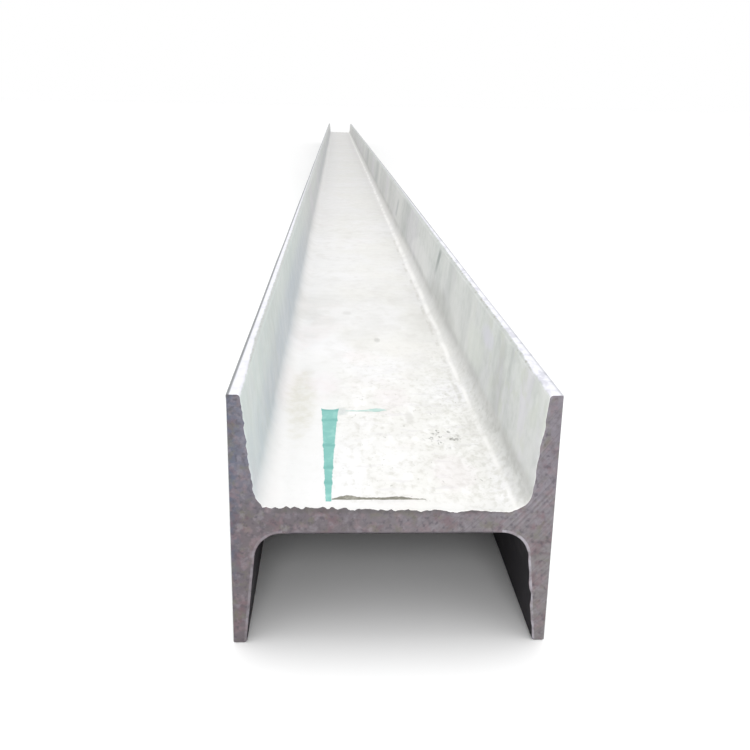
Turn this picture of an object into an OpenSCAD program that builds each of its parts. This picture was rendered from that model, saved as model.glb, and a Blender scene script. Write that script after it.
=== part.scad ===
/* [Section] */
// Depth of the section, over the outer faces of the two flanges
section_depth = 152.4; // [130:0.1:200]
// Width of each flange, from toe to toe
flange_width = 127; // [100:0.5:160]
// Thickness of the web
web_t = 10.4; // [6:0.1:16]
// Thickness of a flange half way between its toe and the web
flange_t = 9.5; // [7.5:0.1:16]
// Slope of the flanges' inner faces, in degrees
flange_slope = 6; // [0:0.5:8]

/* [Rounding] */
// Radius of the fillets where the web meets the flanges
root_r = 13; // [4:0.5:16]
// Radius of the flange toes on their inner side
toe_r = 2; // [1:0.5:4]

/* [Length] */
// Sawn length of the beam
beam_length = 6000; // [500:100:12000]

/* [Hidden] */
$fn = 96;

// The section is drawn about its own centre: x runs across the flanges, y along their width.
half_depth = section_depth / 2;
half_width = flange_width / 2;
half_web = web_t / 2;

// The right flange's inner face is the sloping line x = inner_face(y), for y from the web up.
slope = tan(flange_slope);
mid_outstand = (half_width + half_web) / 2;
function inner_face(y) = half_depth - flange_t + (y - mid_outstand) * slope;

// Centre of the root fillet: root_r away from the web's face and from the inner face
root_y = half_web + root_r;
root_x = inner_face(root_y) - root_r / cos(flange_slope);

// Centre of the toe rounding: toe_r inside the toe's edge and inside the inner face
toe_y = half_width - toe_r;
toe_x = inner_face(toe_y) + toe_r / cos(flange_slope);

// How far a cutting shape reaches past the faces that it cuts
over = 1;

// Metal left in a trough's right corner: a sharp corner with the fillet's circle taken out
module root_fillet() {
    touch_y = root_y - root_r * sin(flange_slope);
    difference() {
        polygon([
            [root_x, half_web - over],
            [half_depth, half_web - over],
            [half_depth, touch_y],
            [inner_face(touch_y), touch_y],
            [root_x, root_y]
        ]);
        translate([root_x, root_y]) circle(r = root_r);
    }
}

// The open space between the flanges on the upper side of the web
module trough() {
    top = half_width + over;
    difference() {
        polygon([
            [-inner_face(half_web), half_web],
            [inner_face(half_web), half_web],
            [inner_face(top), top],
            [-inner_face(top), top]
        ]);
        for (side = [0, 1]) mirror([side, 0]) root_fillet();
    }
}

// What the rolls leave off the inner corner of the right flange's upper toe
module toe_rounding() {
    touch_y = toe_y + toe_r * sin(flange_slope);
    difference() {
        polygon([
            [inner_face(touch_y) - over, touch_y],
            [inner_face(touch_y), touch_y],
            [toe_x, toe_y],
            [toe_x, half_width + over],
            [inner_face(touch_y) - over, half_width + over]
        ]);
        translate([toe_x, toe_y]) circle(r = toe_r);
    }
}

// Two flanges joined by a level web: a full rectangle less both troughs and the toes' roundings
module section() {
    difference() {
        square([section_depth, flange_width], center = true);
        for (edge = [0, 1]) mirror([0, edge]) {
            trough();
            for (side = [0, 1]) mirror([side, 0]) toe_rounding();
        }
    }
}

// The beam lies on the toes of both flanges, with its web level at mid height.
// The origin is on the floor, under the middle of its length.
module i_beam() {
    color("silver")
        translate([0, beam_length / 2, half_width])
            rotate([90, 0, 0])
                linear_extrude(height = beam_length) section();
}

i_beam();
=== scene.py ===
"""The looks of one length of rolled steel i-beam, lying on its flange toes with its web level.

Every size is in metres. X runs across the section, Y along the beam and Z up.
"""
import math

import bmesh
import bpy
from mathutils import Matrix, Vector, noise


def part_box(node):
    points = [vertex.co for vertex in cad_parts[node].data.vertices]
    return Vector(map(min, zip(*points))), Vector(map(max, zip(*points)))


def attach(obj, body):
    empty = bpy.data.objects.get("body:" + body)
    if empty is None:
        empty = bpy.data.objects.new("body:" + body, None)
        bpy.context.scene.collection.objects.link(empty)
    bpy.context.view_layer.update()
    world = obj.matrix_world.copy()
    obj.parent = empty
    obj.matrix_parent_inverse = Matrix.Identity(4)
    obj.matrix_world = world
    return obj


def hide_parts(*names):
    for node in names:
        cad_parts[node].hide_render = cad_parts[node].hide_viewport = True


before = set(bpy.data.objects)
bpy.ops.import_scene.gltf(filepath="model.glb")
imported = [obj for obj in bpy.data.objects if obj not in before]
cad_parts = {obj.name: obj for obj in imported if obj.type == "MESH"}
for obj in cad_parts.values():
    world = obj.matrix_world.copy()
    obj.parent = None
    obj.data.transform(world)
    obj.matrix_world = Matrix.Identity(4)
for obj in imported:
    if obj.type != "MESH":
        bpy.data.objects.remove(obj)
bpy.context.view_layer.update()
beam_low, beam_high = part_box("i_beam")

# ---------------------------------------------------------------- sizes of the section
MM = 0.001
HALF_DEPTH = beam_high.x
HALF_WIDTH = (beam_high.z - beam_low.z) / 2
WEB_HEIGHT = (beam_high.z + beam_low.z) / 2
WEB_T = 10.4 * MM
FLANGE_T = 9.5 * MM
FLANGE_SLOPE = math.radians(6)
ROOT_R = 13 * MM
TOE_R = 2 * MM
OUTER_R = 0.8 * MM
NEAR_END = beam_low.y
FAR_END = beam_high.y
LENGTH = FAR_END - NEAR_END
WEB_TOP = WEB_HEIGHT + WEB_T / 2
TOP = beam_high.z
FLOOR = beam_low.z


def inner_face(rise):
    """Where the right flange's inner face lies, at a height above the web's middle."""
    middle = (HALF_WIDTH + WEB_T / 2) / 2
    return HALF_DEPTH - FLANGE_T + (rise - middle) * math.tan(FLANGE_SLOPE)


ROOT_START = inner_face(WEB_T / 2 + ROOT_R) - ROOT_R / math.cos(FLANGE_SLOPE)
ROOT_END = WEB_TOP + ROOT_R * (1 - math.sin(FLANGE_SLOPE))


# ---------------------------------------------------------------- the rolled bar's outline
def round_corners(bm, corners, radius, turn, segments):
    """Rounds the outline's corners, each of which turns by the same angle."""
    bmesh.ops.bevel(
        bm, geom=corners, offset=radius * math.tan(turn / 2), offset_type="OFFSET",
        segments=segments, profile=0.5, affect="VERTICES", material=-1,
    )


def section_face(bm):
    """One face in the section's shape, at the near end."""
    half_web = WEB_T / 2
    foot, toe = inner_face(half_web), inner_face(HALF_WIDTH)
    right = [
        (foot, half_web), (toe, HALF_WIDTH), (HALF_DEPTH, HALF_WIDTH),
        (HALF_DEPTH, -HALF_WIDTH), (toe, -HALF_WIDTH), (foot, -half_web),
    ]
    left = [(-x, z) for x, z in reversed(right)]
    corners = [bm.verts.new((x, NEAR_END, WEB_HEIGHT + z)) for x, z in right + left]
    bm.faces.new(corners)
    roots = corners[0::6] + corners[5::6]
    toes = corners[1::6] + corners[4::6]
    arrises = corners[2::6] + corners[3::6]
    round_corners(bm, roots, ROOT_R, math.pi / 2 - FLANGE_SLOPE, segments=14)
    round_corners(bm, toes, TOE_R, math.pi / 2 - FLANGE_SLOPE, segments=6)
    round_corners(bm, arrises, OUTER_R, math.pi / 2, segments=3)


def point_spacing(middle):
    """How far apart the outline's points are: closest in the upper trough, whose cut edge is ragged."""
    if abs(middle.x) > HALF_DEPTH - FLANGE_T / 2:
        return 6 * MM
    return 1.0 * MM if middle.z > WEB_HEIGHT else 3 * MM


def divide_outline(bm):
    """Divides the outline's edges, each into steps of about its own spacing."""
    for edge in list(bm.edges):
        middle = (edge.verts[0].co + edge.verts[1].co) / 2
        cuts = round(edge.calc_length() / point_spacing(middle)) - 1
        if cuts > 0:
            bmesh.ops.subdivide_edges(bm, edges=[edge], cuts=cuts)


def key_of(co):
    """Tells a point of the outline by its place in the section, to the nearest micrometre."""
    return round(co.x * 1e6), round(co.z * 1e6)


class Outline:
    """The section's outline, walked once round: each point's outward direction and distance along it."""

    def __init__(self, face):
        points = [v.co.copy() for v in face.verts]
        steps = [(points[i] - points[i - 1]).length for i in range(len(points))]
        self.number = {key_of(co): i for i, co in enumerate(points)}
        self.around = [sum(steps[1:i + 1]) for i in range(len(points))]
        self.whole = sum(steps)
        area = sum(a.x * b.z - b.x * a.z for a, b in zip(points, points[1:] + points[:1]))
        turn = 1 if area > 0 else -1
        self.outward = []
        for i in range(len(points)):
            along = (points[(i + 1) % len(points)] - points[i - 1]).normalized()
            self.outward.append(Vector((along.z, 0, -along.x)) * turn)

    def share_of(self, co):
        """How far round the outline a point lies, from 0 to 1."""
        return self.around[self.number[key_of(co)]] / self.whole


# ---------------------------------------------------------------- how the steel departs from true
STATION_STEP = 0.05
LIP_WAVE = 9 * MM
LIP_RIPPLE = 2.1 * MM
LIP_RUNOUT = 2.6 * MM
ARRIS_WORN = 0.3 * MM
ARRIS_RUNOUT = 0.12 * MM


def stations():
    """Distances from the near end at which the bar has a ring of points: closest at its sawn ends."""
    at_end = [mm * MM for mm in (0.3, 0.8, 1.5, 2.5, 4, 6, 9, 14, 22, 34)]
    count = round(LENGTH / STATION_STEP)
    body = [LENGTH * i / count for i in range(1, count)]
    return at_end + body + [LENGTH - d for d in reversed(at_end)] + [LENGTH]


def smooth_step(value, start, end):
    """0 up to start, 1 from end on, and smooth between them."""
    share = min(max((value - start) / (end - start), 0), 1)
    return share * share * (3 - 2 * share)


def ragged_lip(co, around, from_end, end):
    """How far a sawn edge stands out from the rolled face, as a torn lip that soon runs out.

    It is highest and most finely torn along the web's left half, and dies away towards the toes. Below the
    web the right flange is torn, and the left one hardly at all.
    """
    rise = abs(co.z - WEB_HEIGHT)
    upper = 0.15 + 0.85 * smooth_step(co.z, WEB_HEIGHT, WEB_TOP)
    outer = smooth_step(abs(co.x), HALF_DEPTH - 3.5 * MM, HALF_DEPTH - 1 * MM)
    toe = smooth_step(rise, HALF_WIDTH - 9 * MM, HALF_WIDTH - 2 * MM)
    on_web = 1 - smooth_step(rise, WEB_T / 2, WEB_T / 2 + ROOT_R)
    leftness = smooth_step(-co.x, -HALF_DEPTH, HALF_DEPTH)
    wave = noise.noise(Vector((around / LIP_WAVE, 3.1 * end, 0)))
    ripple = noise.noise(Vector((around / LIP_RIPPLE, 7.7 * end, 5)))
    level = max(0, 0.5 + 3.0 * leftness - abs(co.z - WEB_TOP) / MM)
    lift = level + (0.35 + 0.6 * (1 - leftness) + (1.0 - 0.7 * leftness) * on_web) * wave
    lift += (0.35 + 0.45 * on_web) * (0.5 + 1.5 * leftness) * ripple
    below = smooth_step(WEB_HEIGHT - co.z, WEB_T / 2 + ROOT_R / 2, WEB_T / 2 + ROOT_R)
    torn_below = (1 - leftness) * below * (2.2 * wave + 0.8 * ripple)
    fading = math.exp(-from_end / LIP_RUNOUT) * (1 - outer) * (1 - toe)
    return (lift * upper + torn_below) * MM * fading


def rolled_unevenness(co):
    """The slow swell of a rolled face, more at the flange toes than elsewhere."""
    from_web = abs(co.z - WEB_HEIGHT) / HALF_WIDTH
    swell = noise.noise(Vector((co.x / 0.11, co.y / 0.19, co.z / 0.08)))
    return swell * (0.10 + 0.28 * from_web ** 4) * MM


def departure(co, around):
    """How far outwards the steel's surface lies from the true section at a point."""
    near, far = co.y - NEAR_END, FAR_END - co.y
    lip = ragged_lip(co, around, near, 1) + ragged_lip(co, around, far, 2)
    arris = ARRIS_WORN * (math.exp(-near / ARRIS_RUNOUT) + math.exp(-far / ARRIS_RUNOUT))
    return rolled_unevenness(co) + lip - arris


# ---------------------------------------------------------------- laying the skin out flat
ROW_ENDS = [0, 1.0, 3.2, LENGTH]
ROW_TALL = [0.44, 0.28, 0.28]
SKIN_WIDE = 0.86
MARGIN = 0.004


def skin_place(co, around, row):
    """Where a point of the rolled skin lies on the flat layout, given its distance round the outline."""
    start, end = ROW_ENDS[row], ROW_ENDS[row + 1]
    u = MARGIN + (SKIN_WIDE - 2 * MARGIN) * (co.y - NEAR_END - start) / (end - start)
    v = sum(ROW_TALL[:row]) + MARGIN + (ROW_TALL[row] - 2 * MARGIN) * around
    return u, v


def end_place(co):
    """Where a point of a sawn end lies on the flat layout."""
    far = co.y > 0
    column = 1 - SKIN_WIDE
    u = SKIN_WIDE + MARGIN + (column - 2 * MARGIN) * (co.z - beam_low.z) / (beam_high.z - beam_low.z)
    v = 0.5 * far + MARGIN + (0.5 - 2 * MARGIN) * (co.x - beam_low.x) / (beam_high.x - beam_low.x)
    return u, v


def lay_out_skin(bm, outline):
    """Cuts the skin into three lengths laid in rows, with the two sawn ends in a column beside them."""
    layer = bm.loops.layers.uv.new("OFBake")
    for face in bm.faces:
        if len(face.verts) > 4:
            for loop in face.loops:
                loop[layer].uv = end_place(loop.vert.co)
            continue
        middle = face.calc_center_median().y - NEAR_END
        row = max(i for i in range(len(ROW_TALL)) if middle > ROW_ENDS[i])
        arounds = [outline.share_of(loop.vert.co) for loop in face.loops]
        crosses = max(arounds) - min(arounds) > 0.5
        for loop, around in zip(face.loops, arounds):
            loop[layer].uv = skin_place(loop.vert.co, around + (crosses and around < 0.5), row)


SHARPEST_SMOOTHED = math.radians(38)


def finish_mesh(bm, name, *materials):
    """Makes the object of a finished bmesh, with its normals outwards and its sharp edges kept sharp."""
    bmesh.ops.recalc_face_normals(bm, faces=bm.faces)
    for face in bm.faces:
        face.smooth = True
    for edge in bm.edges:
        edge.smooth = edge.calc_face_angle(0) < SHARPEST_SMOOTHED
    mesh = bpy.data.meshes.new(name)
    bm.to_mesh(mesh)
    bm.free()
    for material in materials:
        mesh.materials.append(material)
    piece = bpy.data.objects.new(name, mesh)
    bpy.context.scene.collection.objects.link(piece)
    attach(piece, "root")
    return piece


def rolled_beam(mill_finish, saw_cut):
    """The beam itself: the section drawn out along its length between two sawn ends, ring by ring."""
    bm = bmesh.new()
    section_face(bm)
    divide_outline(bm)
    bm.faces.ensure_lookup_table()
    near_face = bm.faces[0]
    outline = Outline(near_face)
    ring, reached = list(near_face.edges), 0
    for distance in stations():
        grown = bmesh.ops.extrude_edge_only(bm, edges=ring)["geom"]
        points = [item for item in grown if isinstance(item, bmesh.types.BMVert)]
        ring = [item for item in grown if isinstance(item, bmesh.types.BMEdge)]
        bmesh.ops.translate(bm, verts=points, vec=(0, distance - reached, 0))
        reached = distance
    bmesh.ops.contextual_create(bm, geom=ring)
    lay_out_skin(bm, outline)
    for face in bm.faces:
        face.material_index = int(len(face.verts) > 4)
    for vert in bm.verts:
        i = outline.number[key_of(vert.co)]
        vert.co += outline.outward[i] * departure(vert.co, outline.around[i])
        vert.co.z = max(vert.co.z, FLOOR)
    beam = finish_mesh(bm, "rolled_beam", mill_finish, saw_cut)
    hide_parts("i_beam")
    return beam


# ---------------------------------------------------------------- what a finish is mixed from
EVEN = (1, 1, 1)


class Finish:
    """A procedural finish in the making, with a method for each kind of pattern it is mixed from.

    A share is a number from 0 to 1 at each point of the surface, or the output that gives it.
    """

    def __init__(self, name, metallic):
        self.material = bpy.data.materials.new(name)
        self.material.use_nodes = True
        self.nodes = self.material.node_tree.nodes
        self.links = self.material.node_tree.links
        self.shader = self.nodes["Principled BSDF"]
        self.shader.inputs["Metallic"].default_value = metallic
        self.place = self.nodes.new("ShaderNodeTexCoord").outputs["Object"]
        split = self.node("ShaderNodeSeparateXYZ", self.place)
        self.x, y, self.z = split.outputs
        self.along = self.math("SUBTRACT", y, NEAR_END)
        self.apart = self.math("ABSOLUTE", self.x)

    def node(self, kind, *values, **settings):
        """A node with these settings. Its inputs, in order, take a number or another node's output."""
        made = self.nodes.new(kind)
        for name, value in settings.items():
            setattr(made, name, value)
        for socket, value in zip(made.inputs, values):
            if isinstance(value, bpy.types.NodeSocket):
                self.links.new(value, socket)
            elif value is not None:
                socket.default_value = value
        return made

    def math(self, operation, *values):
        """The output of one sum done at each point of the surface."""
        return self.node("ShaderNodeMath", *values, operation=operation).outputs[0]

    def times(self, *shares):
        """The product of one or more shares."""
        product = shares[0]
        for share in shares[1:]:
            product = self.math("MULTIPLY", product, share)
        return product

    def fade(self, value, start, end, low=0.0, high=1.0):
        """Runs smoothly from low to high as value goes from start to end."""
        inputs = (value, start, end, low, high)
        return self.node("ShaderNodeMapRange", *inputs, interpolation_type="SMOOTHSTEP").outputs["Result"]

    def window(self, value, start, end, soft):
        """1 between start and end, and 0 outside them."""
        rising = self.fade(value, start - soft, start + soft)
        falling = self.fade(value, end - soft, end + soft, 1.0, 0.0)
        return self.times(rising, falling)

    def grain(self, size, stretch=EVEN, detail=3.0, roughness=0.55, shift=(0, 0, 0)):
        """Noise of about 0.5 on average, in patches about size across that stretch draws out."""
        scale = tuple(1 / (size * s) for s in stretch)
        mapping = self.node("ShaderNodeMapping", self.place, shift, None, scale)
        made = self.node("ShaderNodeTexNoise", mapping.outputs[0])
        made.inputs["Scale"].default_value = 1.0
        made.inputs["Detail"].default_value = detail
        made.inputs["Roughness"].default_value = roughness
        return made.outputs["Fac"]

    def patches(self, size, stretch, start, end, thickest=1.0, thinnest=0.0, **kind):
        """Uneven patches: thinnest where the grain is below start, thickest where it is above end."""
        return self.fade(self.grain(size, stretch, **kind), start, end, thinnest, thickest)

    def wobbly(self, value, reach, size, stretch, **kind):
        """The value made uneven by adding the grain, from none of reach to all of it."""
        return self.math("MULTIPLY_ADD", self.grain(size, stretch, **kind), reach, value)

    def tint(self, share, first, second):
        """first where share is 0 and second where it is 1. Each is a colour or another tint."""
        made = self.nodes.new("ShaderNodeMix")
        made.data_type = "RGBA"
        for socket, value in ((made.inputs[0], share), (made.inputs[6], first), (made.inputs[7], second)):
            if isinstance(value, bpy.types.NodeSocket):
                self.links.new(value, socket)
            elif isinstance(value, tuple):
                socket.default_value = (*value, 1)
            else:
                socket.default_value = value
        return made.outputs[2]

    def lay(self, colour, tone, *shares):
        """Lays a tone over a colour, as thickly as the product of the shares."""
        return self.tint(self.times(*shares), colour, tone)

    def oval(self, side, middle, half_side, along, half_along, rim):
        """1 within an oval on one of the faces, fading to 0 outside it. rim makes its edge uneven."""
        across = self.math("DIVIDE", self.math("SUBTRACT", side, middle), half_side)
        down = self.math("DIVIDE", self.math("SUBTRACT", self.along, along), half_along)
        reach = self.math("MULTIPLY_ADD", across, across, self.times(down, down))
        return self.fade(self.math("ADD", reach, rim), 0.1, 1.8, 1.0, 0.0)

    def wear(self, colour, roughness, height, depth):
        """Connects the finished patterns to the shader."""
        self.links.new(colour, self.shader.inputs["Base Color"])
        self.links.new(roughness, self.shader.inputs["Roughness"])
        bump = self.nodes.new("ShaderNodeBump")
        bump.inputs["Strength"].default_value = 1.0
        bump.inputs["Distance"].default_value = depth
        self.links.new(height, bump.inputs["Height"])
        self.links.new(bump.outputs[0], self.shader.inputs["Normal"])
        return self.material


# ---------------------------------------------------------------- the web's finish
CHALK = (0.845, 0.838, 0.852)
CREAM = (0.800, 0.790, 0.762)
BLUSH = (0.83, 0.765, 0.765)
STEP_GREY = (0.72, 0.72, 0.705)
# Painted shade: the web's greying away from the near end, where the light falls off.
MIDWAY_SHADE = (0.715, 0.710, 0.695)
FAR_SHADE = (0.62, 0.615, 0.60)
BLOTCH = (0.60, 0.585, 0.560)
MOTTLE = (0.61, 0.60, 0.56)
PALE_MOTTLE = (0.86, 0.855, 0.85)
STROKE = (0.62, 0.60, 0.62)
ROOT_MOTTLE = (0.62, 0.615, 0.575)
SPECK = (0.40, 0.39, 0.36)
STAIN = (0.56, 0.535, 0.43)
SMEAR = (0.44, 0.50, 0.50)
SMUDGE = (0.50, 0.49, 0.46)
FLECK = (0.24, 0.24, 0.22)
PINK_FLUSH = (0.80, 0.71, 0.76)
DULL = (0.52, 0.51, 0.48)
SPOT = (0.42, 0.41, 0.39)


def web_ground(steel, rightward):
    """Chalky white with cream clouds and a faint blush, greyed by painted shade further from the near end,
    where the light falls off.
    """
    cloud = steel.patches(0.07, (1, 2, 1), 0.40, 0.60, detail=2.0)
    cream = steel.times(cloud, steel.fade(rightward, 0.0, 1.0, 0.35, 1.0))
    colour = steel.tint(cream, CHALK, CREAM)
    blush = steel.patches(0.045, (1, 2, 1), 0.56, 0.70, 0.45, shift=(3, 1, 0))
    colour = steel.lay(colour, BLUSH, blush)
    steps = steel.patches(0.12, (5, 1, 1), 0.45, 0.60, 0.35, shift=(0, 4, 0))
    colour = steel.lay(colour, STEP_GREY, steps)
    # Painted shade: the web greys with distance from the near end as the light falls off.
    colour = steel.lay(colour, MIDWAY_SHADE, steel.fade(steel.along, 0.15, 0.55, 0.0, 0.42))
    colour = steel.lay(colour, FAR_SHADE, steel.fade(steel.along, 0.6, 1.3, 0.0, 0.35))
    blotches = steel.patches(0.018, (1, 2.2, 1), 0.50, 0.68, detail=3.0, shift=(2, 2, 0))
    blotched = steel.window(steel.along, 0.16, 1.2, 0.12)
    return steel.lay(colour, BLOTCH, blotches, blotched, 0.26)


def web_mottle(steel, colour, rightward):
    """Fine mottling, strokes and specks, strongest near the end and beside the right root."""
    nearness = steel.fade(steel.along, 0.13, 0.36, 1.0, 0.18)
    behind_lip = steel.fade(steel.along, 7 * MM, 16 * MM)
    rough_part = steel.times(steel.fade(rightward, 0.0, 1.0, 0.12, 1.0), behind_lip, nearness)
    mottle = steel.patches(4 * MM, (1, 1.9, 1), 0.46, 0.72, 0.75, detail=3.5, roughness=0.6)
    colour = steel.lay(colour, MOTTLE, mottle, rough_part)
    pale = steel.patches(9 * MM, (1, 2.2, 1), 0.50, 0.66, 0.6, shift=(6, 0, 0))
    colour = steel.lay(colour, PALE_MOTTLE, pale, rough_part)
    strokes = steel.patches(5 * MM, (4, 1.3, 1), 0.56, 0.70, 0.32, shift=(0, 3, 0))
    colour = steel.lay(colour, STROKE, strokes, rough_part)
    beside_root = steel.patches(3 * MM, (1, 1.8, 1), 0.46, 0.66, detail=3.0, shift=(0, 0, 5))
    crowded = steel.times(steel.fade(steel.x, 22 * MM, 48 * MM, 0.0, 0.65), nearness)
    colour = steel.lay(colour, ROOT_MOTTLE, beside_root, crowded)
    specks = steel.patches(2.6 * MM, (1, 2, 1), 0.69, 0.78, 0.6, detail=1.5, shift=(9, 0, 0))
    return steel.lay(colour, SPECK, specks, rough_part)


def web_oval(steel, x, along, half_x, half_along, rim=9 * MM):
    """1 within an oval on the web, its rim uneven by patches of the size rim."""
    return steel.oval(steel.x, x, half_x, along, half_along, steel.wobbly(-1.0, 2.0, rim, EVEN))


def web_stains(steel, colour):
    """The stains, flecks, flushes and spots at their own places on the web."""
    stain = web_oval(steel, -49 * MM, 165 * MM, 9 * MM, 62 * MM)
    thin = steel.patches(5 * MM, (1, 2, 1), 0.35, 0.65, 0.50, 0.25, detail=3.0)
    colour = steel.lay(colour, STAIN, stain, thin)
    smear = web_oval(steel, -23 * MM, 145 * MM, 4 * MM, 7 * MM)
    colour = steel.lay(colour, SMEAR, smear, 0.5)
    smudge = web_oval(steel, 18 * MM, 134 * MM, 2.5 * MM, 11 * MM, rim=4 * MM)
    colour = steel.lay(colour, SMUDGE, smudge, 0.40)
    flecked = web_oval(steel, 34 * MM, 99 * MM, 9 * MM, 17 * MM)
    flecks = steel.patches(2.8 * MM, (1, 2, 1), 0.56, 0.68, 0.85, detail=2.0)
    colour = steel.lay(colour, FLECK, flecked, flecks)
    for x, along in ((35 * MM, 48 * MM), (-36 * MM, 205 * MM), (10 * MM, 172 * MM)):
        flush = web_oval(steel, x, along, 11 * MM, 24 * MM)
        colour = steel.lay(colour, PINK_FLUSH, flush, 0.20)
    dull = steel.patches(0.028, (1, 1.8, 1), 0.38, 0.60, 0.26, 0.06, detail=4.0, shift=(5, 5, 0))
    colour = steel.lay(colour, DULL, dull, steel.window(steel.along, 0.30, 0.56, 0.08))
    for x, along, half_x, strength in (
        (6.4 * MM, 322 * MM, 2.4 * MM, 0.5),
        (-17 * MM, 420 * MM, 4 * MM, 0.3),
    ):
        spot = web_oval(steel, x, along, half_x, 7 * MM, rim=1.5 * MM)
        colour = steel.lay(colour, SPOT, spot, strength)
    return colour


def web_colour(steel):
    """The web: smooth beside the left root, mottled elsewhere, stained and flecked near the end."""
    rightward = steel.fade(steel.x, -40 * MM, -10 * MM)
    return web_stains(steel, web_mottle(steel, web_ground(steel, rightward), rightward))


# ---------------------------------------------------------------- the right root's finish
RIDGE = 59.4 * MM
# Painted shade for the upper fillet, in a pale and a grey tone.
ROOT_SHADE_PALE = (0.655, 0.655, 0.635)
ROOT_SHADE_GREY = (0.51, 0.51, 0.485)
RIDGE_FOOT = (0.52, 0.51, 0.475)
BRIGHT_RIDGE = (0.90, 0.89, 0.87)
# Painted shadow for the corner just above the fillet.
CORNER_SHADOW = (0.42, 0.425, 0.41)


def root_colour(steel, colour):
    """Works the right root over: a bright ridge at its foot, then painted shade greying up the fillet to a
    soft dark painted shadow in the corner.
    """
    wobble = steel.wobbly(steel.x, 3 * MM, 0.03, (1, 3, 1))
    # Painted shade: the upper fillet greys as it turns from the light towards the corner.
    on_fillet = steel.fade(steel.z, ROOT_END - 3 * MM, ROOT_END + 3 * MM, 0.8, 0.0)
    up_fillet = steel.fade(wobble, ROOT_START + 5 * MM, ROOT_START + 13 * MM)
    speckle = steel.patches(3.6 * MM, (1, 2, 1), 0.42, 0.66, detail=3.0, shift=(0, 7, 0))
    crisp = steel.fade(steel.along, 0.05, 0.35, 1.0, 0.35)
    grey = steel.lay(ROOT_SHADE_PALE, ROOT_SHADE_GREY, speckle, crisp)
    colour = steel.lay(colour, grey, on_fillet, up_fillet, steel.fade(steel.along, 0.08, 0.25, 1.0, 0.6))
    foot = steel.window(wobble, RIDGE - 5 * MM, RIDGE - 2.4 * MM, 0.8 * MM)
    dotted = steel.patches(6 * MM, (1, 2.5, 1), 0.42, 0.62, 0.5, detail=3.0, shift=(0, 2, 6))
    dotted = steel.times(dotted, steel.window(steel.along, 0.10, 0.90, 0.06))
    colour = steel.lay(colour, RIDGE_FOOT, foot, dotted)
    half_ridge = steel.fade(steel.along, 0.10, 0.70, 1.8 * MM, 3.4 * MM)
    aside = steel.math("ABSOLUTE", steel.math("SUBTRACT", wobble, RIDGE))
    ridge = steel.fade(steel.math("DIVIDE", aside, half_ridge), 0.1, 1.0, 1.0, 0.0)
    broken = steel.patches(0.012, (1, 3, 1), 0.36, 0.58, 0.85, 0.25, detail=3.0)
    brightness = steel.fade(steel.along, 0.02, 0.22, 0.65, 1.0)
    colour = steel.lay(colour, BRIGHT_RIDGE, ridge, brightness, broken)
    # Painted shadow: a soft dark line just above the fillet, in its corner with the flange face.
    wander = steel.wobbly(steel.z, 6 * MM, 0.05, (1, 3, 1))
    corner_shadow = steel.window(wander, ROOT_END - 0.5 * MM, ROOT_END + 5.5 * MM, 3.5 * MM)
    uneven = steel.patches(0.03, (1, 2, 1), 0.35, 0.65, 0.52, 0.20, detail=3.0, shift=(4, 0, 0))
    return steel.lay(colour, CORNER_SHADOW, corner_shadow, uneven, steel.fade(steel.x, 0.0, 30 * MM))


# ---------------------------------------------------------------- the flanges' finish
LEFT_BLUER = (0.510, 0.560, 0.610)
LEFT_GREENER = (0.610, 0.670, 0.660)
LEFT_NEAR_END = (0.700, 0.760, 0.750)
RIGHT_BLUER = (0.670, 0.680, 0.672)
RIGHT_GREENER = (0.700, 0.720, 0.695)
FLANGE_FAR = (0.640, 0.632, 0.625)
CLOUD = (0.52, 0.545, 0.515)
PALE_RUN = (0.76, 0.765, 0.74)
DARK_RUN = (0.45, 0.475, 0.46)
LILAC = (0.67, 0.65, 0.69)
SMALL_LILAC = (0.69, 0.67, 0.73)
MOSS = (0.60, 0.625, 0.55)
DARK_SCRATCH = (0.28, 0.31, 0.30)
FAINT_SCRATCH = (0.36, 0.38, 0.39)
SCRATCH_LEAN = 0.8


def flange_ground(steel, on_right):
    """Pale grey and cloudy: bluer on the left and near the roots, greener near the toes."""
    height = steel.fade(steel.z, WEB_TOP + ROOT_R, TOP)
    uneven = steel.wobbly(-0.4, 0.8, 0.08, (1, 5, 1))
    greener = steel.fade(steel.math("ADD", height, uneven), 0.10, 0.80)
    left = steel.tint(greener, LEFT_BLUER, LEFT_GREENER)
    left = steel.lay(left, LEFT_NEAR_END, steel.fade(steel.along, 0.02, 0.16, 0.38, 0.0))
    right = steel.tint(greener, RIGHT_BLUER, RIGHT_GREENER)
    colour = steel.tint(on_right, left, right)
    colour = steel.lay(colour, FLANGE_FAR, steel.fade(steel.along, 0.25, 1.1, 0.0, 0.6))
    strength = steel.fade(on_right, 0.0, 1.0, 0.16, 0.34)
    for size, shift in ((0.013, (0, 0, 4)), (0.006, (2, 0, 1))):
        cloudy = steel.patches(size, (1, 1.4, 1), 0.44, 0.66, detail=4.0, roughness=0.65, shift=shift)
        colour = steel.lay(colour, CLOUD, cloudy, strength)
    return colour


def run_marks(steel, colour, size, detail, shift, strength):
    """Lays pale and dark run marks over a flange's face, each about size across."""
    tall = (1, 1, 3.2)
    beside = (shift[0] + 5, shift[1], shift[2])
    pale = steel.patches(size, tall, 0.48, 0.68, detail=detail, shift=shift)
    colour = steel.lay(colour, PALE_RUN, pale, strength)
    dark = steel.patches(size, tall, 0.50, 0.70, detail=detail, shift=beside)
    return steel.lay(colour, DARK_RUN, dark, strength)


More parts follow.
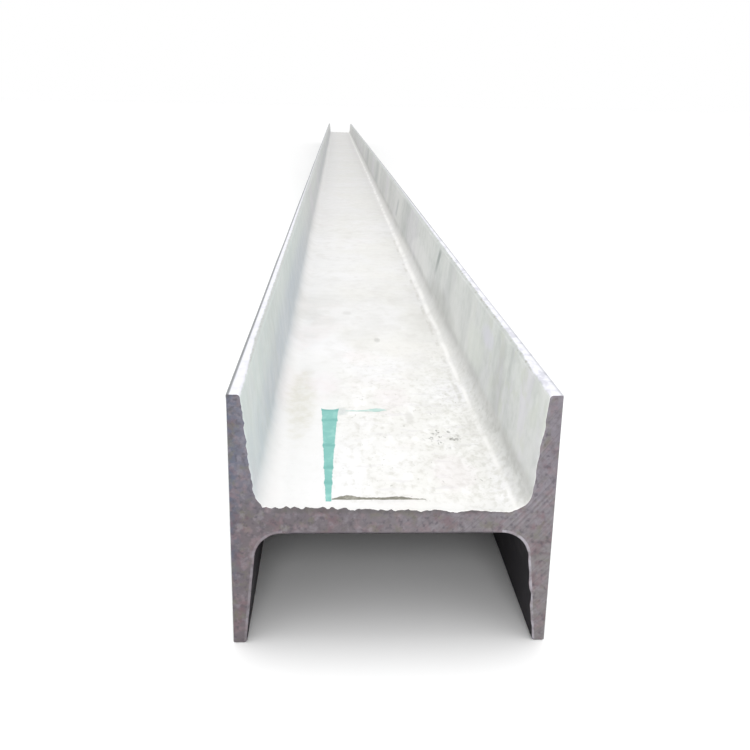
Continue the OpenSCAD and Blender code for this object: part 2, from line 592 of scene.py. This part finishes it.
def flange_runs(steel, colour, on_right):
    """Run marks, fine ones near the end and broad ones all along, with lilac and mossy patches between."""
    stretches = steel.patches(0.16, EVEN, 0.38, 0.62, 0.65, 0.2, shift=(0, 9, 0))
    side_strength = steel.times(stretches, steel.fade(on_right, 0.0, 1.0, 0.4, 1.0))
    close_by = steel.times(side_strength, steel.fade(steel.along, 0.08, 0.32, 1.0, 0.06))
    on_either = steel.fade(on_right, 0.0, 1.0, 0.3, 1.0)
    between = steel.times(steel.window(steel.along, 0.14, 0.52, 0.10), 0.55, on_either)
    colour = run_marks(steel, colour, 0.030, 3.0, (0, 2, 0), close_by)
    colour = run_marks(steel, colour, 0.052, 2.5, (1, 4, 0), between)
    colour = run_marks(steel, colour, 0.22, 1.0, (3, 6, 0), side_strength)
    lilac = steel.patches(0.10, (1, 2, 1), 0.50, 0.66, 0.5, shift=(0, 0, 8))
    colour = steel.lay(colour, LILAC, lilac)
    small_lilac = steel.patches(0.022, (1, 1, 1.5), 0.50, 0.66, shift=(1, 0, 8))
    colour = steel.lay(colour, SMALL_LILAC, small_lilac, close_by)
    mossy = steel.patches(0.017, (1, 1.3, 1), 0.50, 0.66, detail=3.0, shift=(7, 0, 2))
    return steel.lay(colour, MOSS, mossy, close_by)


def scratch_mask(steel, right, along, low, high, wide):
    """1 on a leaning scratch down the right flange's face, whose middle is at along."""
    leaning = steel.math("MULTIPLY_ADD", steel.z, SCRATCH_LEAN, steel.along)
    middle = along + SCRATCH_LEAN * (low + high) / 2
    across = steel.window(leaning, middle - wide / 2, middle + wide / 2, 5 * MM)
    return steel.times(right, across, steel.window(steel.z, low, high, 4 * MM))


def flange_marks(steel, colour):
    """The cloudy patches and the two scratches at their own places on the right flange."""
    right = steel.math("GREATER_THAN", steel.x, 0.0)
    rim = steel.wobbly(-1.2, 2.4, 0.018, (1, 1.6, 1.4), shift=(0, 1, 1))
    for along, height, half_along, half_height, tone, strength in (
        (0.395, 82 * MM, 0.080, 14 * MM, (0.48, 0.485, 0.46), 0.55),
        (0.110, 98 * MM, 0.013, 22 * MM, (0.45, 0.46, 0.445), 0.42),
        (0.600, 92 * MM, 0.110, 14 * MM, (0.80, 0.80, 0.785), 0.60),
        (0.200, 96 * MM, 0.035, 13 * MM, (0.74, 0.77, 0.71), 0.50),
        (0.160, 113 * MM, 0.022, 6 * MM, (0.71, 0.70, 0.78), 0.55),
    ):
        patch = steel.oval(steel.z, height, half_height, along, half_along, rim)
        colour = steel.lay(colour, tone, patch, right, strength)
    dying = steel.fade(steel.z, 98 * MM, 117 * MM, 0.25, 0.8)
    dark_scratch = scratch_mask(steel, right, 0.448, 99 * MM, 124 * MM, 15 * MM)
    colour = steel.lay(colour, DARK_SCRATCH, dark_scratch, dying)
    faint_scratch = scratch_mask(steel, right, 1.01, 88 * MM, 114 * MM, 30 * MM)
    return steel.lay(colour, FAINT_SCRATCH, faint_scratch, 0.45)


def flange_colour(steel):
    """The flanges' inner faces above the web: the ground, then the run marks, then the single marks."""
    on_right = steel.fade(steel.x, -30 * MM, 30 * MM)
    return flange_marks(steel, flange_runs(steel, flange_ground(steel, on_right), on_right))


# ---------------------------------------------------------------- the toes' finish
# Painted shade: the shaded flange face's grey, laid on the upward-facing toe.
TOE_SHADE_GREY = (0.445, 0.465, 0.455)
STRIP = (0.75, 0.75, 0.80)
STRIP_MOTTLE = (0.54, 0.54, 0.60)
STRIP_FAR = (0.56, 0.57, 0.60)
CHIP = (0.30, 0.29, 0.25)
# Painted shade: the dark line along the top of the outer arris.
ARRIS_SHADE = (0.22, 0.23, 0.24)


def toe_strip(steel, on_right):
    """The bright strip's own colour, mottled most on the right, duller further from the near end."""
    mottle = steel.patches(5 * MM, (1, 2, 1), 0.44, 0.66, 0.8, detail=3.0, shift=(8, 0, 0))
    strip = steel.lay(STRIP, STRIP_MOTTLE, mottle, on_right)
    return steel.lay(strip, STRIP_FAR, steel.fade(steel.along, 0.5, 1.1, 0.0, 0.8))


def toe_colour(steel, colour):
    """Leaves a bright strip along each upper toe, flaking at its inner edge, with a dark outer arris of
    painted shade.

    The strip covers the whole toe at the near end and a little more than half of it further on, and the
    rest is painted shade: the shaded flange face's grey, laid on the upward-facing top.
    """
    on_toe = steel.fade(steel.z, TOP - 1.4 * MM, TOP - 0.2 * MM)
    on_right = steel.fade(steel.x, -10 * MM, 10 * MM, 0.35, 1.0)
    # Painted shade: the upward-facing toe is darkened to the flange face's shaded grey.
    colour = steel.lay(colour, TOE_SHADE_GREY, on_toe, 0.85)
    shrinking = steel.fade(steel.along, 5 * MM, 0.12, 8.8 * MM, 6.8 * MM)
    reach = steel.math("ADD", shrinking, steel.fade(steel.along, 0.12, 1.2, 0.0, -1.2 * MM))
    flaking = steel.wobbly(reach, -1.9 * MM, 3 * MM, (1, 2.5, 1), detail=4.0)
    inner_edge = steel.math("SUBTRACT", HALF_DEPTH + 1.5 * MM, flaking)
    inside = steel.math("SUBTRACT", steel.apart, inner_edge)
    on_top = steel.fade(steel.z, TOP - 1.6 * MM, TOP - 0.8 * MM)
    bright = steel.fade(inside, -0.5 * MM, 0.5 * MM)
    colour = steel.lay(colour, toe_strip(steel, on_right), on_top, bright)
    chipped = steel.window(inside, -1.3 * MM, -0.1 * MM, 0.4 * MM)
    chips = steel.patches(3 * MM, (1, 1.5, 1), 0.53, 0.62, 0.7, detail=2.0, shift=(3, 3, 0))
    colour = steel.lay(colour, CHIP, chipped, on_toe, chips, on_right)
    # Painted shade: a dark line along the outer arris, where the outer face turns from the light.
    arris = steel.window(steel.apart, HALF_DEPTH - 1.5 * MM, HALF_DEPTH + 1.0 * MM, 0.4 * MM)
    near_top = steel.fade(steel.z, TOP - 2.6 * MM, TOP - 1.2 * MM)
    right_share = steel.fade(steel.along, 0.2, 0.9, 0.40, 1.0)
    shade_depth = steel.fade(steel.x, 0.0, 30 * MM, 1.0, right_share)
    return steel.lay(colour, ARRIS_SHADE, arris, near_top, shade_depth)


# ---------------------------------------------------------------- the outer faces' finish, and the painted shade under the web
OUTER_DARK = (0.50, 0.52, 0.525)
OUTER_PALE = (0.66, 0.675, 0.665)
DRAWN_STREAK = (0.40, 0.415, 0.42)
OUTER_RUN = (0.73, 0.74, 0.72)
OUTER_CLOUD = (0.52, 0.53, 0.515)
SCUFF = (0.36, 0.365, 0.365)
# Painted shade: near-black tones standing in for the shadow inside the lower trough.
UNDERSIDE_SHADE = (0.016, 0.014, 0.018)
THIN_UNDERSIDE_SHADE = (0.060, 0.056, 0.060)


def outer_colour(steel):
    """The flanges' outer faces: pale grey, drawn out in streaks along the rolling, scuffed by handling."""
    cloud = steel.patches(0.11, (1, 2.5, 1), 0.38, 0.64, detail=4.0)
    colour = steel.tint(cloud, OUTER_DARK, OUTER_PALE)
    drawn = steel.patches(5 * MM, (1, 60, 1), 0.44, 0.68, 0.26, detail=3.0)
    colour = steel.lay(colour, DRAWN_STREAK, drawn)
    runs = steel.patches(0.030, (1, 1, 4), 0.48, 0.72, 0.28, detail=2.0, shift=(0, 6, 0))
    colour = steel.lay(colour, OUTER_RUN, runs)
    cloudy = steel.patches(0.012, (1, 1.6, 1), 0.42, 0.66, 0.35, detail=4.0, roughness=0.65)
    colour = steel.lay(colour, OUTER_CLOUD, cloudy)
    scuffs = steel.patches(9 * MM, (1, 5, 1), 0.60, 0.74, 0.5, detail=5.0, shift=(2, 0, 3))
    return steel.lay(colour, SCUFF, scuffs)


def underside_shade_colour(steel):
    """Painted shade for the lower trough: a near-black tone standing in for its shadow, thinning to grey
    in patches.
    """
    thinned = steel.patches(0.02, (1, 2, 1), 0.50, 0.72, 0.6, detail=5.0, roughness=0.6)
    return steel.tint(thinned, UNDERSIDE_SHADE, THIN_UNDERSIDE_SHADE)


def mill_finish():
    """Weathered mill finish: chalky web, greyer streaked flanges, and a dull dark painted shade under the
    web.
    """
    steel = Finish("mill_finish", metallic=0.25)
    rightward = steel.fade(steel.x, -30 * MM, 30 * MM)
    wander = steel.wobbly(steel.z, 5 * MM, 0.035, (1, 3, 1))
    start = steel.fade(rightward, 0.0, 1.0, ROOT_END - 8.2 * MM, ROOT_END - 0.5 * MM)
    soft = steel.fade(rightward, 0.0, 1.0, 11.5 * MM, 6 * MM)
    on_flange = steel.fade(steel.math("SUBTRACT", wander, start), 0.0, soft)
    colour = root_colour(steel, steel.tint(on_flange, web_colour(steel), flange_colour(steel)))
    # Below the web's middle the colour is painted shade, dark for the lower trough's shadow.
    under = steel.fade(steel.z, WEB_HEIGHT - 1 * MM, WEB_HEIGHT + 1 * MM, 1.0, 0.0)
    colour = steel.tint(under, colour, underside_shade_colour(steel))
    outer = steel.fade(steel.apart, HALF_DEPTH - 1.2 * MM, HALF_DEPTH - 0.6 * MM)
    colour = toe_colour(steel, steel.tint(outer, colour, outer_colour(steel)))
    patchy = steel.grain(0.012, detail=4.0)
    roughness = steel.fade(patchy, 0.35, 0.65, 0.46, 0.66)
    roughness = steel.fade(under, 0.0, 1.0, roughness, 0.92)
    pits = steel.grain(2.4 * MM, (1, 1.8, 1), detail=2.0)
    pits = steel.times(pits, steel.fade(on_flange, 0.0, 1.0, 1.0, 0.3))
    height = steel.math("MULTIPLY_ADD", patchy, 1.5, pits)
    return steel.wear(colour, roughness, height, depth=0.08 * MM)


# ---------------------------------------------------------------- the sawn ends' finish
BLADE_HUB = (-0.25, 0.0, 0.34)
COARSE_LINE = 2.2 * MM
FINE_LINE = 0.9 * MM
LINED_FROM = 61 * MM
LINED_TO = 82 * MM
SAWN_LEFT_LOW = (0.120, 0.101, 0.112)
SAWN_LEFT_HIGH = (0.126, 0.128, 0.166)
SAWN_RIGHT_LOW = (0.176, 0.162, 0.166)
SAWN_RIGHT_HIGH = (0.180, 0.164, 0.188)
SAWN_BLUE = (0.074, 0.090, 0.136)
SAW_LINE = (0.29, 0.27, 0.30)
SCORE = (0.10, 0.09, 0.105)
DARK_FOOT = (0.055, 0.05, 0.065)
TORN_EDGE = (0.080, 0.073, 0.070)
PALE_RIM = (0.38, 0.36, 0.40)


def section_rim(steel, wide):
    """1 within a narrow band inside the edge of each root and each flange's inner face, on a sawn end."""
    rise = steel.math("ABSOLUTE", steel.math("SUBTRACT", steel.z, WEB_HEIGHT))
    middle = (HALF_WIDTH + WEB_T / 2) / 2
    sloped = steel.math("MULTIPLY_ADD", rise, -math.tan(FLANGE_SLOPE), steel.apart)
    inside = steel.math("SUBTRACT", sloped, HALF_DEPTH - FLANGE_T - middle * math.tan(FLANGE_SLOPE))
    on_face = steel.math("GREATER_THAN", rise, ROOT_END - WEB_HEIGHT)
    face_rim = steel.times(on_face, steel.window(inside, 0.2 * MM, wide, 0.25 * MM))
    across = steel.math("SUBTRACT", steel.apart, ROOT_START)
    up = steel.math("SUBTRACT", rise, WEB_T / 2 + ROOT_R)
    reach = steel.math("SQRT", steel.math("MULTIPLY_ADD", across, across, steel.times(up, up)))
    in_corner = steel.times(steel.math("GREATER_THAN", across, 0.0), steel.math("LESS_THAN", up, 0.0))
    root_rim = steel.window(reach, ROOT_R + 0.2 * MM, ROOT_R + wide, 0.25 * MM)
    return steel.math("MAXIMUM", face_rim, steel.times(in_corner, root_rim))


def saw_lines(steel):
    """The arcs that a large round blade left: even coarse ones (-1 to 1) and uneven fine ones (0 to 1)."""
    flat = steel.node("ShaderNodeCombineXYZ", steel.x, 0.0, steel.z).outputs[0]
    reach = steel.node("ShaderNodeVectorMath", flat, BLADE_HUB, operation="DISTANCE").outputs["Value"]
    coarse = steel.math("SINE", steel.math("MULTIPLY", reach, 2 * math.pi / COARSE_LINE))
    fine = steel.node("ShaderNodeTexNoise", noise_dimensions="1D")
    steel.links.new(reach, fine.inputs["W"])
    fine.inputs["Scale"].default_value = 1 / FINE_LINE
    fine.inputs["Detail"].default_value = 2.0
    return coarse, fine.outputs["Fac"]


def saw_ground(steel, rightward):
    """Mauve grey and blotched, paler to the right, with a bluish outer edge on the left flange."""
    left = steel.tint(steel.fade(steel.z, 60 * MM, 95 * MM), SAWN_LEFT_LOW, SAWN_LEFT_HIGH)
    right = steel.tint(steel.fade(steel.z, 40 * MM, 88 * MM), SAWN_RIGHT_LOW, SAWN_RIGHT_HIGH)
    colour = steel.tint(rightward, left, right)
    outer_left = steel.fade(steel.x, -HALF_DEPTH + 0.5 * MM, -HALF_DEPTH + 6.5 * MM, 0.65, 0.0)
    colour = steel.lay(colour, SAWN_BLUE, outer_left, steel.fade(steel.z, 20 * MM, 50 * MM))
    for size, shift, tone, strength in (
        (5 * MM, (0, 0, 0), (0.115, 0.099, 0.104), 0.7),
        (4.5 * MM, (4, 0, 2), (0.215, 0.158, 0.172), 0.6),
        (7 * MM, (3, 0, 7), (0.146, 0.088, 0.100), 0.6),
        (6 * MM, (0, 0, 6), (0.134, 0.132, 0.094), 0.6),
        (3.2 * MM, (2, 0, 0), (0.235, 0.215, 0.242), 0.45),
        (2.6 * MM, (1, 1, 1), (0.070, 0.060, 0.074), 0.65),
    ):
        colour = steel.lay(colour, tone, steel.patches(size, EVEN, 0.50, 0.70, strength, shift=shift))
    return colour


def saw_edges(steel, colour, rightward):
    """Darkens the web's foot and its torn upper edge, and brightens the rims of roots and flanges."""
    web_foot = WEB_HEIGHT - WEB_T / 2
    at_foot = steel.window(steel.z, web_foot - 1 * MM, web_foot + 0.7 * MM, 0.3 * MM)
    inner = steel.fade(steel.apart, ROOT_START - 4 * MM, ROOT_START, 0.6, 0.0)
    colour = steel.lay(colour, DARK_FOOT, at_foot, inner)
    height = steel.wobbly(steel.z, 3.5 * MM, 3 * MM, EVEN, detail=3.0, shift=(7, 0, 0))
    torn = steel.fade(height, WEB_TOP + 0.7 * MM, WEB_TOP + 2.9 * MM, 0.0, 0.55)
    on_web = steel.fade(steel.apart, ROOT_START + 1 * MM, ROOT_START + 8 * MM, 1.0, 0.0)
    colour = steel.lay(colour, TORN_EDGE, torn, on_web)
    rim = section_rim(steel, 1.5 * MM)
    lower = steel.fade(steel.z, WEB_HEIGHT - 2 * MM, WEB_HEIGHT + 2 * MM, 0.8, 0.15)
    clear = steel.times(lower, steel.math("MAXIMUM", rightward, 0.35))
    rim_patches = steel.patches(5 * MM, EVEN, 0.36, 0.60, 1.0, 0.25, detail=3.0, shift=(0, 0, 3))
    return steel.lay(colour, PALE_RIM, rim, clear, rim_patches)


def saw_cut():
    """Bare steel as the saw left it: blotched, and lined by the blade's arcs, most at the right root."""
    steel = Finish("saw_cut", metallic=0.2)
    rightward = steel.fade(steel.x, -70 * MM, 62 * MM)
    colour = saw_ground(steel, rightward)
    coarse, fine = saw_lines(steel)
    at_root = steel.window(steel.z, LINED_FROM, LINED_TO, 6 * MM)
    uneven = steel.patches(0.008, EVEN, 0.40, 0.60, 1.0, 0.10, shift=(0, 0, 9))
    strong = steel.times(steel.fade(steel.x, 46 * MM, 58 * MM, 0.0, 0.75), at_root, uneven)
    faint = steel.times(steel.patches(0.015, EVEN, 0.44, 0.68, 0.28), rightward)
    lines = steel.times(steel.math("MAXIMUM", faint, strong), steel.fade(coarse, -0.6, 1.0))
    colour = steel.lay(colour, SAW_LINE, lines, 0.5)
    scored = steel.times(steel.fade(fine, 0.52, 0.75), steel.fade(rightward, 0.2, 1.0, 0.12, 0.4))
    colour = steel.lay(colour, SCORE, scored)
    colour = saw_edges(steel, colour, rightward)
    height = steel.math("MULTIPLY_ADD", lines, 0.8, fine)
    roughness = steel.patches(4 * MM, EVEN, 0.35, 0.65, 0.60, 0.38, detail=2.0)
    return steel.wear(colour, roughness, height, depth=0.10 * MM)


# ---------------------------------------------------------------- marks on the web
TEAL = (0.155, 0.44, 0.40)
THIN_TEAL = (0.28, 0.56, 0.515)
HEAVY_TEAL = (0.085, 0.33, 0.30)
FAINT_TEAL = (0.40, 0.58, 0.54)
FAINTEST_TEAL = (0.64, 0.71, 0.68)
DARK_PAINT = (0.15, 0.145, 0.11)
THIN_DARK_PAINT = (0.44, 0.43, 0.38)


def stroke_paint(name, thick, thin, grain_size, dabs=(), heavy=None):
    """Marking paint, paler where it is thin and heavy where dabs of the brush overlap."""
    paint = Finish(name, metallic=0.0)
    patchy = paint.grain(grain_size, (1, 1.6, 1), detail=3.0)
    colour = paint.tint(paint.fade(patchy, 0.40, 0.75), thick, thin)
    wavering = paint.math("MULTIPLY_ADD", patchy, 6 * MM, paint.along)
    for at in dabs:
        overlap = paint.window(wavering, at + 1 * MM, at + 5 * MM, 2 * MM)
        colour = paint.lay(colour, heavy, overlap, 0.6)
    speckle = paint.grain(1.0 * MM, detail=2.0)
    colour = paint.lay(colour, thin, paint.fade(speckle, 0.62, 0.74, 0.0, 0.5))
    roughness = paint.fade(patchy, 0.35, 0.65, 0.40, 0.62)
    return paint.wear(colour, roughness, speckle, depth=0.06 * MM)


FILM_PROUD = 0.18 * MM
FILM_DEPTH = 0.5 * MM
DABS = tuple(mm * MM for mm in (35, 55, 87, 129, 147))
DAB_SPREAD = 2.6 * MM
# Where the strokes lie, in millimetres from the web's middle line and from the near end.
BAR_START, BAR_LENGTH = 13, 135
BAR_LEFT = -31.7
DASH_LEFT, DASH_LENGTH = -21, 26
DASH_FROM_END = 146
LINE_LEFT, LINE_LENGTH = -28.8, 45.6
LINE_FROM_END = 15.0


def paint_film(name, material, cells, place):
    """A thin closed coat of paint on the web. place turns its own shares into x and a distance along."""
    bm = bmesh.new()
    bmesh.ops.create_grid(bm, x_segments=cells[0], y_segments=cells[1], size=0.5)
    for vert in bm.verts:
        x, from_end = place(vert.co.x + 0.5, vert.co.y + 0.5)
        spot = Vector((x, NEAR_END + from_end, WEB_TOP))
        spot.z += rolled_unevenness(spot) + FILM_PROUD
        vert.co = spot
    lowered = bmesh.ops.extrude_face_region(bm, geom=bm.faces[:])["geom"]
    verts = [item for item in lowered if isinstance(item, bmesh.types.BMVert)]
    bmesh.ops.translate(bm, verts=verts, vec=(0, 0, -FILM_DEPTH))
    film = finish_mesh(bm, name, material)
    return film


def hump(value, middle, spread):
    """A smooth bump of height 1."""
    return math.exp(-((value - middle) / spread) ** 2)


def ragged(value, size, seed):
    """Noise between -1 and 1 that changes about once in each size."""
    return noise.noise(Vector((value / size, seed, 0)))


def bar_place(across, down):
    """A brushed bar that widens away from the end, swollen where each dab of the brush met the last."""
    from_end = (BAR_START + BAR_LENGTH * down) * MM
    dabs = sum(hump(from_end, at, DAB_SPREAD) for at in DABS)
    width = (2.7 + 7.4 * down ** 1.25 + 0.9 * dabs) * MM
    left = (BAR_LEFT - 3.9 * down - 0.45 * dabs) * MM
    side = 2 * across - 1
    fray = (0.35 * ragged(from_end, 2.3 * MM, side) + 0.2 * ragged(from_end, 0.9 * MM, side + 4)) * MM
    horns = 2.2 * MM * abs(side) ** 3 * smooth_step(down, 0.93, 1)
    return left + across * width + fray * abs(side), from_end + horns


def dash_place(across, down):
    """A faint dash across the far end of the bar, thin at its left and full at its right."""
    x = (DASH_LEFT + DASH_LENGTH * across) * MM
    full = 1.3 + 4.6 * hump(across, 0.74, 0.20)
    thickness = full * min(1, 6 * across, 7 * (1 - across)) + 0.15
    middle = DASH_FROM_END + 1.8 * smooth_step(across, 0.3, 0.9) + 0.5 * ragged(across, 0.12, 2)
    fray = 0.5 * ragged(across, 0.06, 5 + down)
    return x, (middle + (down - 0.5) * (thickness + fray)) * MM


def line_place(across, down):
    """A dark smeared line square across the web, thick in two places and running out to the right."""
    x = (LINE_LEFT + LINE_LENGTH * across) * MM
    full = 1.8 + 2.9 * hump(across, 0.17, 0.10) + 1.3 * hump(across, 0.70, 0.13)
    thickness = full * min(1, 7 * across + 0.4, 4 * (1 - across)) + 0.1
    start = LINE_FROM_END + 0.5 * ragged(across, 0.1, 3)
    fray = 0.7 * ragged(across, 0.035, 8) * down
    return x, (start + down * thickness + fray) * MM


def marks():
    """The three strokes of marking paint near the beam's end."""
    teal = stroke_paint("teal_paint", TEAL, THIN_TEAL, 5 * MM, DABS, HEAVY_TEAL)
    faint_teal = stroke_paint("faint_teal_paint", FAINT_TEAL, FAINTEST_TEAL, 4 * MM)
    dark = stroke_paint("dark_paint", DARK_PAINT, THIN_DARK_PAINT, 3 * MM)
    paint_film("paint_bar", teal, (8, 150), bar_place)
    paint_film("paint_dash", faint_teal, (60, 3), dash_place)
    paint_film("paint_line", dark, (110, 4), line_place)


# ---------------------------------------------------------------- the studio
FLOOR_RADIUS = 150
CAMERA_AT = (-0.0275, NEAR_END - 0.3816, 0.2511)
CAMERA_YAW = math.radians(-2.67)
CAMERA_PITCH = math.radians(16.75)
CAMERA_ROLL = math.radians(1.03)
CAMERA_SENSOR_MM = 36
CAMERA_LENS_MM = 43.0


def lay_floor():
    """A wide pale floor under the beam."""
    bm = bmesh.new()
    bmesh.ops.create_circle(bm, cap_ends=True, segments=64, radius=FLOOR_RADIUS)
    mesh = bpy.data.meshes.new("floor")
    bm.to_mesh(mesh)
    bm.free()
    floor = bpy.data.objects.new("floor", mesh)
    bpy.context.scene.collection.objects.link(floor)
    paint = bpy.data.materials.new("floor_paint")
    paint.use_nodes = True
    shader = paint.node_tree.nodes["Principled BSDF"]
    shader.inputs["Base Color"].default_value = (0.95, 0.95, 0.95, 1)
    shader.inputs["Roughness"].default_value = 0.9
    mesh.materials.append(paint)


def hang_lamp(name, place, aim, size, watts):
    """A soft round lamp at place, facing aim."""
    lamp = bpy.data.lights.new(name, "AREA")
    lamp.shape = "DISK"
    lamp.size = size
    lamp.energy = watts
    holder = bpy.data.objects.new(name, lamp)
    holder.location = place
    holder.rotation_euler = (Vector(aim) - Vector(place)).to_track_quat("-Z", "Y").to_euler()
    bpy.context.scene.collection.objects.link(holder)


def light_studio():
    """White surroundings, a lamp above the near end, one in front of it and a very soft sun overhead."""
    world = bpy.data.worlds.new("studio")
    world.use_nodes = True
    background = world.node_tree.nodes["Background"]
    background.inputs["Color"].default_value = (1, 1, 1, 1)
    background.inputs["Strength"].default_value = 1.0
    bpy.context.scene.world = world
    over_end = NEAR_END + 0.5
    hang_lamp("key", place=(0.1, over_end, 2.0), aim=(0, over_end, 0), size=1.6, watts=9)
    hang_lamp("front_fill", place=(0, NEAR_END - 2.2, 1.2), aim=(0, NEAR_END, 0.03), size=0.9, watts=18)
    sun = bpy.data.lights.new("overhead", "SUN")
    sun.angle = math.radians(60)
    sun.energy = 0.25
    bpy.context.scene.collection.objects.link(bpy.data.objects.new("overhead", sun))
    bpy.context.scene.view_settings.view_transform = "Standard"


def place_camera():
    """A low camera just off the near end, looking down the trough."""
    data = bpy.data.cameras.new("camera")
    data.sensor_width = CAMERA_SENSOR_MM
    data.lens = CAMERA_LENS_MM
    data.clip_start = 0.01
    data.clip_end = 1000
    camera = bpy.data.objects.new("camera", data)
    turn = Matrix.Rotation(CAMERA_YAW, 4, "Z") @ Matrix.Rotation(math.pi / 2 - CAMERA_PITCH, 4, "X")
    turn = turn @ Matrix.Rotation(CAMERA_ROLL, 4, "Z")
    camera.matrix_world = Matrix.Translation(CAMERA_AT) @ turn
    bpy.context.scene.collection.objects.link(camera)
    bpy.context.scene.camera = camera


place_camera()
rolled_beam(mill_finish(), saw_cut())
marks()
lay_floor()
light_studio()
